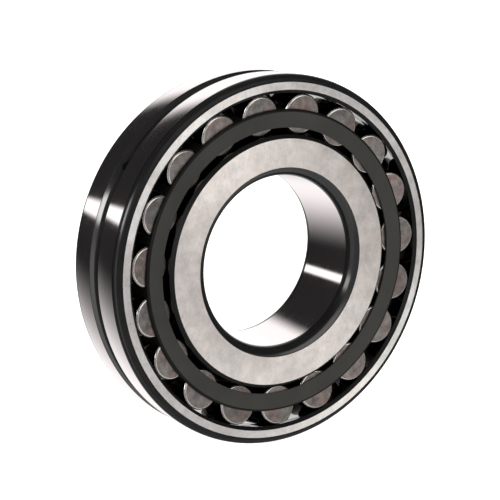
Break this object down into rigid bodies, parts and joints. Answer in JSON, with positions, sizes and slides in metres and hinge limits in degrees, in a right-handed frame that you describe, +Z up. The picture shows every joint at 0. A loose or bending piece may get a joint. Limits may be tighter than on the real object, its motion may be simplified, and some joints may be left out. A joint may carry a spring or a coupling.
{
  "type": "spherical roller bearing",
  "caption": "Self-aligning bearing: two rows of barrel rollers between an inner ring and a grooved outer ring with a spherical raceway.",
  "frame": {"origin": "centre of the spherical raceway, which is also the middle of the bearing's box", "axes": "+Y along the bearing axis, from the front side to the rear side; +Z up, with the bearing standing on its rim; +X completes the right-handed set"},
  "size_m": [0.14, 0.033, 0.14],
  "materials": {
    "ring_steel": "ground side faces, polished bore and outside diameter",
    "roller_steel": "honed barrel, ground ends",
    "guide_steel": "fine turned",
    "cage_steel": "dark surface-treated pressed steel, satin"
  },
  "bodies": {
    "outer_ring": {"outer_ring": "ring_steel"},
    "guide_ring": {"guide_ring": "guide_steel"},
    "inner_ring": {"inner_ring": "ring_steel"},
    "cage_front": {"cage_front": "cage_steel"},
    "cage_rear": {"cage_rear": "cage_steel"},
    "roller_front_01": {"roller_front_01": "roller_steel"},
    "roller_front_02": {"roller_front_02": "roller_steel"},
    "roller_front_03": {"roller_front_03": "roller_steel"},
    "roller_front_04": {"roller_front_04": "roller_steel"},
    "roller_front_05": {"roller_front_05": "roller_steel"},
    "roller_front_06": {"roller_front_06": "roller_steel"},
    "roller_front_07": {"roller_front_07": "roller_steel"},
    "roller_front_08": {"roller_front_08": "roller_steel"},
    "roller_front_09": {"roller_front_09": "roller_steel"},
    "roller_front_10": {"roller_front_10": "roller_steel"},
    "roller_front_11": {"roller_front_11": "roller_steel"},
    "roller_front_12": {"roller_front_12": "roller_steel"},
    "roller_front_13": {"roller_front_13": "roller_steel"},
    "roller_front_14": {"roller_front_14": "roller_steel"},
    "roller_front_15": {"roller_front_15": "roller_steel"},
    "roller_front_16": {"roller_front_16": "roller_steel"},
    "roller_front_17": {"roller_front_17": "roller_steel"},
    "roller_front_18": {"roller_front_18": "roller_steel"},
    "roller_front_19": {"roller_front_19": "roller_steel"},
    "roller_rear_01": {"roller_rear_01": "roller_steel"},
    "roller_rear_02": {"roller_rear_02": "roller_steel"},
    "roller_rear_03": {"roller_rear_03": "roller_steel"},
    "roller_rear_04": {"roller_rear_04": "roller_steel"},
    "roller_rear_05": {"roller_rear_05": "roller_steel"},
    "roller_rear_06": {"roller_rear_06": "roller_steel"},
    "roller_rear_07": {"roller_rear_07": "roller_steel"},
    "roller_rear_08": {"roller_rear_08": "roller_steel"},
    "roller_rear_09": {"roller_rear_09": "roller_steel"},
    "roller_rear_10": {"roller_rear_10": "roller_steel"},
    "roller_rear_11": {"roller_rear_11": "roller_steel"},
    "roller_rear_12": {"roller_rear_12": "roller_steel"},
    "roller_rear_13": {"roller_rear_13": "roller_steel"},
    "roller_rear_14": {"roller_rear_14": "roller_steel"},
    "roller_rear_15": {"roller_rear_15": "roller_steel"},
    "roller_rear_16": {"roller_rear_16": "roller_steel"},
    "roller_rear_17": {"roller_rear_17": "roller_steel"},
    "roller_rear_18": {"roller_rear_18": "roller_steel"},
    "roller_rear_19": {"roller_rear_19": "roller_steel"}
  },
  "joints": [
    {"name": "self_align", "type": "hinge", "parent": "outer_ring", "child": "guide_ring", "pos_m": [0, 0, 0], "axis": [1, 0, 0], "range_deg": [-2, 2]},
    {"name": "inner_ring_spin", "type": "hinge", "parent": "guide_ring", "child": "inner_ring", "pos_m": [0, 0, 0], "axis": [0, 1, 0], "continuous": true},
    {"name": "cage_front_spin", "type": "hinge", "parent": "guide_ring", "child": "cage_front", "pos_m": [0, 0, 0], "axis": [0, 1, 0], "continuous": true},
    {"name": "cage_rear_spin", "type": "hinge", "parent": "guide_ring", "child": "cage_rear", "pos_m": [0, 0, 0], "axis": [0, 1, 0], "continuous": true},
    {"name": "roller_front_01_spin", "type": "hinge", "parent": "cage_front", "child": "roller_front_01", "pos_m": [0.05622, -0.00843, 0.00413], "axis": [0.1474, 0.989, 0.0108], "continuous": true},
    {"name": "roller_front_02_spin", "type": "hinge", "parent": "cage_front", "child": "roller_front_02", "pos_m": [0.05184, -0.00843, 0.02216], "axis": [0.1359, 0.989, 0.0581], "continuous": true},
    {"name": "roller_front_03_spin", "type": "hinge", "parent": "cage_front", "child": "roller_front_03", "pos_m": [0.04183, -0.00843, 0.03779], "axis": [0.1097, 0.989, 0.0991], "continuous": true},
    {"name": "roller_front_04_spin", "type": "hinge", "parent": "cage_front", "child": "roller_front_04", "pos_m": [0.02729, -0.00843, 0.04933], "axis": [0.0716, 0.989, 0.1293], "continuous": true},
    {"name": "roller_front_05_spin", "type": "hinge", "parent": "cage_front", "child": "roller_front_05", "pos_m": [0.0098, -0.00843, 0.05552], "axis": [0.0257, 0.989, 0.1456], "continuous": true},
    {"name": "roller_front_06_spin", "type": "hinge", "parent": "cage_front", "child": "roller_front_06", "pos_m": [-0.00876, -0.00843, 0.05569], "axis": [-0.023, 0.989, 0.146], "continuous": true},
    {"name": "roller_front_07_spin", "type": "hinge", "parent": "cage_front", "child": "roller_front_07", "pos_m": [-0.02637, -0.00843, 0.04983], "axis": [-0.0691, 0.989, 0.1306], "continuous": true},
    {"name": "roller_front_08_spin", "type": "hinge", "parent": "cage_front", "child": "roller_front_08", "pos_m": [-0.04112, -0.00843, 0.03857], "axis": [-0.1078, 0.989, 0.1011], "continuous": true},
    {"name": "roller_front_09_spin", "type": "hinge", "parent": "cage_front", "child": "roller_front_09", "pos_m": [-0.05141, -0.00843, 0.02313], "axis": [-0.1348, 0.989, 0.0606], "continuous": true},
    {"name": "roller_front_10_spin", "type": "hinge", "parent": "cage_front", "child": "roller_front_10", "pos_m": [-0.05614, -0.00843, 0.00518], "axis": [-0.1472, 0.989, 0.0136], "continuous": true},
    {"name": "roller_front_11_spin", "type": "hinge", "parent": "cage_front", "child": "roller_front_11", "pos_m": [-0.05478, -0.00843, -0.01333], "axis": [-0.1436, 0.989, -0.0349], "continuous": true},
    {"name": "roller_front_12_spin", "type": "hinge", "parent": "cage_front", "child": "roller_front_12", "pos_m": [-0.04748, -0.00843, -0.03039], "axis": [-0.1245, 0.989, -0.0797], "continuous": true},
    {"name": "roller_front_13_spin", "type": "hinge", "parent": "cage_front", "child": "roller_front_13", "pos_m": [-0.03504, -0.00843, -0.04416], "axis": [-0.0919, 0.989, -0.1158], "continuous": true},
    {"name": "roller_front_14_spin", "type": "hinge", "parent": "cage_front", "child": "roller_front_14", "pos_m": [-0.0188, -0.00843, -0.05315], "axis": [-0.0493, 0.989, -0.1393], "continuous": true},
    {"name": "roller_front_15_spin", "type": "hinge", "parent": "cage_front", "child": "roller_front_15", "pos_m": [-0.00053, -0.00843, -0.05637], "axis": [-0.0014, 0.989, -0.1478], "continuous": true},
    {"name": "roller_front_16_spin", "type": "hinge", "parent": "cage_front", "child": "roller_front_16", "pos_m": [0.0178, -0.00843, -0.05349], "axis": [0.0467, 0.989, -0.1402], "continuous": true},
    {"name": "roller_front_17_spin", "type": "hinge", "parent": "cage_front", "child": "roller_front_17", "pos_m": [0.03421, -0.00843, -0.04481], "axis": [0.0897, 0.989, -0.1175], "continuous": true},
    {"name": "roller_front_18_spin", "type": "hinge", "parent": "cage_front", "child": "roller_front_18", "pos_m": [0.0469, -0.00843, -0.03127], "axis": [0.123, 0.989, -0.082], "continuous": true},
    {"name": "roller_front_19_spin", "type": "hinge", "parent": "cage_front", "child": "roller_front_19", "pos_m": [0.05452, -0.00843, -0.01435], "axis": [0.1429, 0.989, -0.0376], "continuous": true},
    {"name": "roller_rear_01_spin", "type": "hinge", "parent": "cage_rear", "child": "roller_rear_01", "pos_m": [0.05477, 0.00843, 0.01335], "axis": [-0.1436, 0.989, -0.035], "continuous": true},
    {"name": "roller_rear_02_spin", "type": "hinge", "parent": "cage_rear", "child": "roller_rear_02", "pos_m": [0.04747, 0.00843, 0.03041], "axis": [-0.1245, 0.989, -0.0797], "continuous": true},
    {"name": "roller_rear_03_spin", "type": "hinge", "parent": "cage_rear", "child": "roller_rear_03", "pos_m": [0.03502, 0.00843, 0.04418], "axis": [-0.0918, 0.989, -0.1158], "continuous": true},
    {"name": "roller_rear_04_spin", "type": "hinge", "parent": "cage_rear", "child": "roller_rear_04", "pos_m": [0.01878, 0.00843, 0.05315], "axis": [-0.0492, 0.989, -0.1394], "continuous": true},
    {"name": "roller_rear_05_spin", "type": "hinge", "parent": "cage_rear", "child": "roller_rear_05", "pos_m": [0.0005, 0.00843, 0.05637], "axis": [-0.0013, 0.989, -0.1478], "continuous": true},
    {"name": "roller_rear_06_spin", "type": "hinge", "parent": "cage_rear", "child": "roller_rear_06", "pos_m": [-0.01783, 0.00843, 0.05348], "axis": [0.0467, 0.989, -0.1402], "continuous": true},
    {"name": "roller_rear_07_spin", "type": "hinge", "parent": "cage_rear", "child": "roller_rear_07", "pos_m": [-0.03423, 0.00843, 0.04479], "axis": [0.0897, 0.989, -0.1174], "continuous": true},
    {"name": "roller_rear_08_spin", "type": "hinge", "parent": "cage_rear", "child": "roller_rear_08", "pos_m": [-0.04692, 0.00843, 0.03125], "axis": [0.123, 0.989, -0.0819], "continuous": true},
    {"name": "roller_rear_09_spin", "type": "hinge", "parent": "cage_rear", "child": "roller_rear_09", "pos_m": [-0.05452, 0.00843, 0.01433], "axis": [0.143, 0.989, -0.0376], "continuous": true},
    {"name": "roller_rear_10_spin", "type": "hinge", "parent": "cage_rear", "child": "roller_rear_10", "pos_m": [-0.05622, 0.00843, -0.00415], "axis": [0.1474, 0.989, 0.0109], "continuous": true},
    {"name": "roller_rear_11_spin", "type": "hinge", "parent": "cage_rear", "child": "roller_rear_11", "pos_m": [-0.05183, 0.00843, -0.02218], "axis": [0.1359, 0.989, 0.0582], "continuous": true},
    {"name": "roller_rear_12_spin", "type": "hinge", "parent": "cage_rear", "child": "roller_rear_12", "pos_m": [-0.04181, 0.00843, -0.03781], "axis": [0.1096, 0.989, 0.0991], "continuous": true},
    {"name": "roller_rear_13_spin", "type": "hinge", "parent": "cage_rear", "child": "roller_rear_13", "pos_m": [-0.02727, 0.00843, -0.04934], "axis": [0.0715, 0.989, 0.1294], "continuous": true},
    {"name": "roller_rear_14_spin", "type": "hinge", "parent": "cage_rear", "child": "roller_rear_14", "pos_m": [-0.00977, 0.00843, -0.05552], "axis": [0.0256, 0.989, 0.1456], "continuous": true},
    {"name": "roller_rear_15_spin", "type": "hinge", "parent": "cage_rear", "child": "roller_rear_15", "pos_m": [0.00878, 0.00843, -0.05569], "axis": [-0.023, 0.989, 0.146], "continuous": true},
    {"name": "roller_rear_16_spin", "type": "hinge", "parent": "cage_rear", "child": "roller_rear_16", "pos_m": [0.02639, 0.00843, -0.04982], "axis": [-0.0692, 0.989, 0.1306], "continuous": true},
    {"name": "roller_rear_17_spin", "type": "hinge", "parent": "cage_rear", "child": "roller_rear_17", "pos_m": [0.04113, 0.00843, -0.03855], "axis": [-0.1079, 0.989, 0.1011], "continuous": true},
    {"name": "roller_rear_18_spin", "type": "hinge", "parent": "cage_rear", "child": "roller_rear_18", "pos_m": [0.05142, 0.00843, -0.0231], "axis": [-0.1348, 0.989, 0.0606], "continuous": true},
    {"name": "roller_rear_19_spin", "type": "hinge", "parent": "cage_rear", "child": "roller_rear_19", "pos_m": [0.05614, 0.00843, -0.00516], "axis": [-0.1472, 0.989, 0.0135], "continuous": true}
  ],
  "couplings": [
    {"joint": "cage_front_spin", "follows": "inner_ring_spin", "ratio": 0.43158},
    {"joint": "cage_rear_spin", "follows": "inner_ring_spin", "ratio": 0.43158},
    {"joint": "roller_front_01_spin", "follows": "inner_ring_spin", "ratio": -3.546},
    {"joint": "roller_front_02_spin", "follows": "inner_ring_spin", "ratio": -3.546},
    {"joint": "roller_front_03_spin", "follows": "inner_ring_spin", "ratio": -3.546},
    {"joint": "roller_front_04_spin", "follows": "inner_ring_spin", "ratio": -3.546},
    {"joint": "roller_front_05_spin", "follows": "inner_ring_spin", "ratio": -3.546},
    {"joint": "roller_front_06_spin", "follows": "inner_ring_spin", "ratio": -3.546},
    {"joint": "roller_front_07_spin", "follows": "inner_ring_spin", "ratio": -3.546},
    {"joint": "roller_front_08_spin", "follows": "inner_ring_spin", "ratio": -3.546},
    {"joint": "roller_front_09_spin", "follows": "inner_ring_spin", "ratio": -3.546},
    {"joint": "roller_front_10_spin", "follows": "inner_ring_spin", "ratio": -3.546},
    {"joint": "roller_front_11_spin", "follows": "inner_ring_spin", "ratio": -3.546},
    {"joint": "roller_front_12_spin", "follows": "inner_ring_spin", "ratio": -3.546},
    {"joint": "roller_front_13_spin", "follows": "inner_ring_spin", "ratio": -3.546},
    {"joint": "roller_front_14_spin", "follows": "inner_ring_spin", "ratio": -3.546},
    {"joint": "roller_front_15_spin", "follows": "inner_ring_spin", "ratio": -3.546},
    {"joint": "roller_front_16_spin", "follows": "inner_ring_spin", "ratio": -3.546},
    {"joint": "roller_front_17_spin", "follows": "inner_ring_spin", "ratio": -3.546},
    {"joint": "roller_front_18_spin", "follows": "inner_ring_spin", "ratio": -3.546},
    {"joint": "roller_front_19_spin", "follows": "inner_ring_spin", "ratio": -3.546},
    {"joint": "roller_rear_01_spin", "follows": "inner_ring_spin", "ratio": -3.546},
    {"joint": "roller_rear_02_spin", "follows": "inner_ring_spin", "ratio": -3.546},
    {"joint": "roller_rear_03_spin", "follows": "inner_ring_spin", "ratio": -3.546},
    {"joint": "roller_rear_04_spin", "follows": "inner_ring_spin", "ratio": -3.546},
    {"joint": "roller_rear_05_spin", "follows": "inner_ring_spin", "ratio": -3.546},
    {"joint": "roller_rear_06_spin", "follows": "inner_ring_spin", "ratio": -3.546},
    {"joint": "roller_rear_07_spin", "follows": "inner_ring_spin", "ratio": -3.546},
    {"joint": "roller_rear_08_spin", "follows": "inner_ring_spin", "ratio": -3.546},
    {"joint": "roller_rear_09_spin", "follows": "inner_ring_spin", "ratio": -3.546},
    {"joint": "roller_rear_10_spin", "follows": "inner_ring_spin", "ratio": -3.546},
    {"joint": "roller_rear_11_spin", "follows": "inner_ring_spin", "ratio": -3.546},
    {"joint": "roller_rear_12_spin", "follows": "inner_ring_spin", "ratio": -3.546},
    {"joint": "roller_rear_13_spin", "follows": "inner_ring_spin", "ratio": -3.546},
    {"joint": "roller_rear_14_spin", "follows": "inner_ring_spin", "ratio": -3.546},
    {"joint": "roller_rear_15_spin", "follows": "inner_ring_spin", "ratio": -3.546},
    {"joint": "roller_rear_16_spin", "follows": "inner_ring_spin", "ratio": -3.546},
    {"joint": "roller_rear_17_spin", "follows": "inner_ring_spin", "ratio": -3.546},
    {"joint": "roller_rear_18_spin", "follows": "inner_ring_spin", "ratio": -3.546},
    {"joint": "roller_rear_19_spin", "follows": "inner_ring_spin", "ratio": -3.546}
  ]
}
